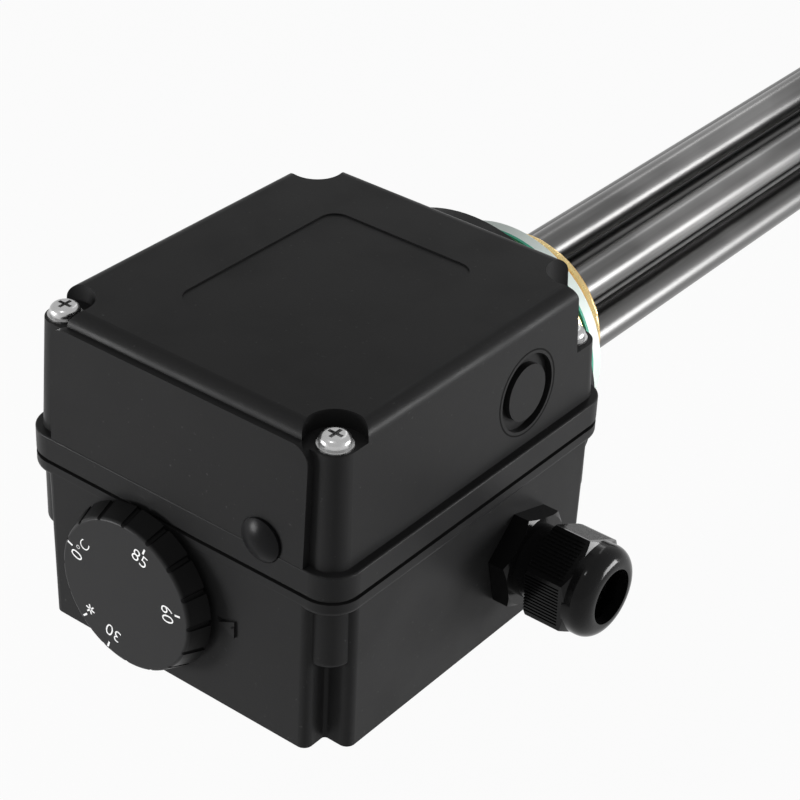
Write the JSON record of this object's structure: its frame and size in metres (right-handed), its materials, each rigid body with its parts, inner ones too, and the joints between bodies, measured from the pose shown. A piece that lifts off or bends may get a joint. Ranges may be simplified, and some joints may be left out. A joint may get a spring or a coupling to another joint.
{
  "type": "screw plug immersion heater",
  "caption": "Black thermostat box on a brass screw plug with heating tubes, with its lid, control knob, reset cap and cable gland",
  "frame": {"origin": "on the screw plug's axis, at the gasket's face that meets the tank", "axes": "+Y along the heating tubes into the tank, +X to the cable gland's side, +Z to the lid's side"},
  "size_m": [0.1224, 0.4352, 0.0843],
  "materials": {
    "black_plastic": "moulded black plastic with a fine even grain",
    "gloss_black": "smooth glossy black polyamide",
    "seal_rubber": "dull black foam rubber",
    "zinc_steel": "bright zinc plated steel",
    "stainless": "drawn stainless tube, softly polished",
    "brass": "turned brass",
    "white_gasket": "smooth white sealing ring",
    "green_fibre": "thin green fibre",
    "ceramic": "unglazed white ceramic",
    "device_plastic": "ivory thermoset",
    "copper": "drawn copper tube",
    "grey_rubber": "black neoprene"
  },
  "bodies": {
    "base": {"backing_ring": "green_fibre", "base_box": "black_plastic", "base_inserts": "brass", "block_screws": "zinc_steel", "bracket_screws": "zinc_steel", "earth_nuts": "brass", "earth_stud": "brass", "earth_washer": "brass", "flat_gasket": "white_gasket", "gland_body": "gloss_black", "gland_claw": "gloss_black", "gland_dome_nut": "gloss_black", "gland_locknut": "gloss_black", "gland_seal": "grey_rubber", "heating_element_1": "stainless", "heating_element_2": "stainless", "heating_element_3": "stainless", "lid_seal": "seal_rubber", "limiter_body": "device_plastic", "limiter_bracket": "zinc_steel", "limiter_bulb": "copper", "limiter_capillary": "copper", "limiter_nut": "zinc_steel", "limiter_terminals": "brass", "limiter_well": "stainless", "pin_insulators": "ceramic", "pin_nuts": "brass", "plug_screws": "zinc_steel", "screw_plug": "brass", "star_link": "brass", "terminal_block": "device_plastic", "terminal_clamps": "brass", "terminal_pins": "zinc_steel", "terminal_screws": "zinc_steel", "thermostat_body": "device_plastic", "thermostat_bulb": "copper", "thermostat_capillary": "copper", "thermostat_screws": "zinc_steel", "thermostat_terminals": "brass", "thermostat_well": "stainless"},
    "knob": {"control_knob": "black_plastic", "thermostat_spindle": "zinc_steel"},
    "lid": {"lid": "black_plastic", "lid_screws": "zinc_steel", "lid_washers": "zinc_steel"},
    "reset_cap": {"reset_cap": "black_plastic"},
    "limiter_button": {"limiter_button": "device_plastic"}
  },
  "joints": [
    {"name": "knob_turn", "type": "hinge", "parent": "base", "child": "knob", "pos_m": [-0.0084, -0.13, -0.0143], "axis": [0, 1, 0], "range_deg": [-201.3, 67.3]},
    {"name": "lid_lift", "type": "slide", "parent": "base", "child": "lid", "axis": [0, 0, 1], "range_m": [0, 0.06]},
    {"name": "cap_pull", "type": "slide", "parent": "lid", "child": "reset_cap", "axis": [0, -1, 0], "range_m": [0, 0.015]},
    {"name": "button_press", "type": "slide", "parent": "base", "child": "limiter_button", "axis": [0, 1, 0], "range_m": [0, 0.002], "stiffness_N_per_m": 300, "springref_m": -0.001}
  ]
}
